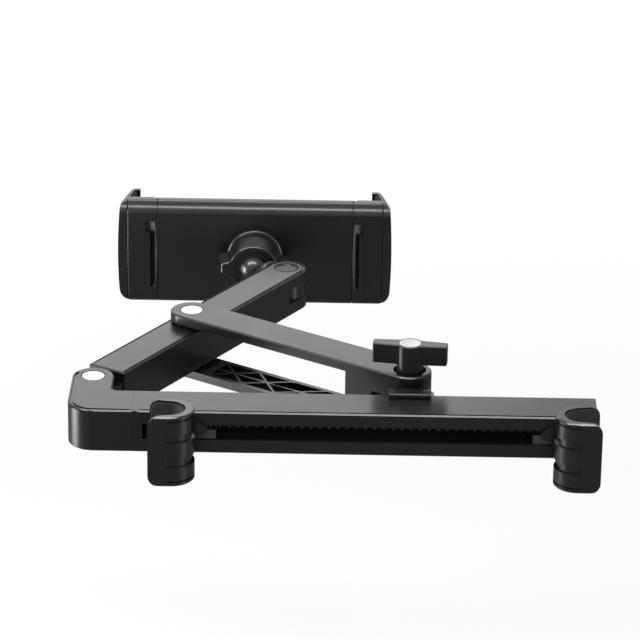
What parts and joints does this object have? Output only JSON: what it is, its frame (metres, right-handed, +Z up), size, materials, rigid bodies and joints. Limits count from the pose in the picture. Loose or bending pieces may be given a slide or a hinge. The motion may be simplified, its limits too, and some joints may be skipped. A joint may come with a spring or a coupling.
{
  "type": "headrest tablet mount",
  "caption": "Folding tablet mount: a beam with hooked jaws for headrest posts, a braced swing arm locked by a wing knob, and a sprung holder on a ball joint.",
  "frame": {"origin": "midway between the axes of the two headrest posts, at the beam mid height", "axes": "+X along the beam to the right seen from the posts, +Y from the posts towards the tablet, +Z up along the posts"},
  "size_m": [0.1904, 0.2117, 0.0444],
  "materials": {
    "black_plastic": "fine grain moulded",
    "guide_plastic": "smooth moulded",
    "seat_plastic": "smooth moulded",
    "black_rubber": "matt moulded",
    "steel": "zinc plated",
    "cap_silver": "satin anodised",
    "cap_black": "satin moulded"
  },
  "bodies": {
    "beam": {"beam_channel": "black_plastic", "elbow": "black_plastic", "end_cap": "black_plastic", "rack_strip": "guide_plastic", "hinge_pin": "steel", "hinge_pin_caps": "cap_silver", "beam_screws": "steel"},
    "arm": {"main_arm": "black_plastic", "swivel_pin": "steel", "swivel_pin_caps": "cap_black"},
    "brace": {"brace_fork": "black_plastic", "brace_pin": "steel", "brace_pin_caps": "cap_silver", "brace_washers": "guide_plastic"},
    "carriage": {"carriage": "black_plastic", "clamp_nut": "steel"},
    "knob": {"wing_knob": "black_plastic", "knob_cap": "cap_silver", "clamp_stud": "steel"},
    "link": {"ball_link": "seat_plastic"},
    "ball_ring": {"ball_ring": "guide_plastic"},
    "ball_cup": {"ball_cup": "guide_plastic"},
    "holder": {"holder_shell": "black_plastic", "front_plate": "black_plastic", "front_pad": "black_rubber", "plate_screws": "steel", "left_spring": "steel", "right_spring": "steel"},
    "lock_nut": {"ball_nut": "black_plastic"},
    "left_wing": {"left_wing_cover": "black_plastic", "left_wing_jaw": "black_plastic", "left_wing_pad": "black_rubber", "left_slide_plate": "guide_plastic"},
    "left_jaw": {"left_hook": "black_plastic", "left_hook_pad": "black_rubber", "left_shoe": "guide_plastic", "left_hook_screw": "steel"},
    "right_wing": {"right_wing_cover": "black_plastic", "right_wing_jaw": "black_plastic", "right_wing_pad": "black_rubber", "right_slide_plate": "guide_plastic"},
    "right_jaw": {"right_hook": "black_plastic", "right_hook_pad": "black_rubber", "right_shoe": "guide_plastic", "right_hook_screw": "steel"}
  },
  "joints": [
    {"name": "arm_swing", "type": "hinge", "parent": "beam", "child": "arm", "pos_m": [-0.1026, 0.0408, 0], "axis": [0, 0, 1], "range_deg": [-58.56, 0]},
    {"name": "brace_pivot", "type": "hinge", "parent": "arm", "child": "brace", "pos_m": [-0.06917, 0.09549, 0], "axis": [0, 0, 1], "range_deg": [-1, 93.29]},
    {"name": "carriage_pivot", "type": "hinge", "parent": "brace", "child": "carriage", "pos_m": [0.01276, 0.0408, 0], "axis": [0, 0, 1], "range_deg": [-34.73, 1]},
    {"name": "knob_turn", "type": "hinge", "parent": "carriage", "child": "knob", "pos_m": [0.01276, 0.0408, 0], "axis": [0, 0, 1], "continuous": true},
    {"name": "link_swivel", "type": "hinge", "parent": "arm", "child": "link", "pos_m": [-0.03443, 0.15231, 0], "axis": [0, 0, 1], "range_deg": [-1, 36.14]},
    {"name": "ball_yaw", "type": "hinge", "parent": "link", "child": "ball_ring", "pos_m": [-0.04792, 0.1713, 0], "axis": [0, 0, 1], "range_deg": [-3, 35]},
    {"name": "ball_pitch", "type": "hinge", "parent": "ball_ring", "child": "ball_cup", "pos_m": [-0.04792, 0.1713, 0], "axis": [1, 0, 0], "range_deg": [-12, 12]},
    {"name": "holder_spin", "type": "hinge", "parent": "ball_cup", "child": "holder", "pos_m": [-0.04792, 0.1713, 0], "axis": [0, 1, 0], "range_deg": [-90, 90]},
    {"name": "nut_turn", "type": "hinge", "parent": "holder", "child": "lock_nut", "pos_m": [-0.04792, 0.1713, 0], "axis": [0, 1, 0], "continuous": true},
    {"name": "left_wing_slide", "type": "slide", "parent": "holder", "child": "left_wing", "axis": [-1, 0, 0], "range_m": [0, 0.045], "stiffness_N_per_m": 120, "springref_m": -0.02, "deforming": ["left_spring"]},
    {"name": "right_wing_slide", "type": "slide", "parent": "holder", "child": "right_wing", "axis": [1, 0, 0], "range_m": [0, 0.045], "stiffness_N_per_m": 120, "springref_m": -0.02, "deforming": ["right_spring"]},
    {"name": "left_jaw_slide", "type": "slide", "parent": "beam", "child": "left_jaw", "axis": [1, 0, 0], "range_m": [0, 0.03]},
    {"name": "right_jaw_slide", "type": "slide", "parent": "beam", "child": "right_jaw", "axis": [-1, 0, 0], "range_m": [0, 0.03]}
  ],
  "couplings": [
    {"joint": "brace_pivot", "follows": "arm_swing", "ratio": -1.5759},
    {"joint": "carriage_pivot", "follows": "arm_swing", "ratio": 0.57592},
    {"joint": "link_swivel", "follows": "arm_swing", "ratio": -0.6}
  ]
}
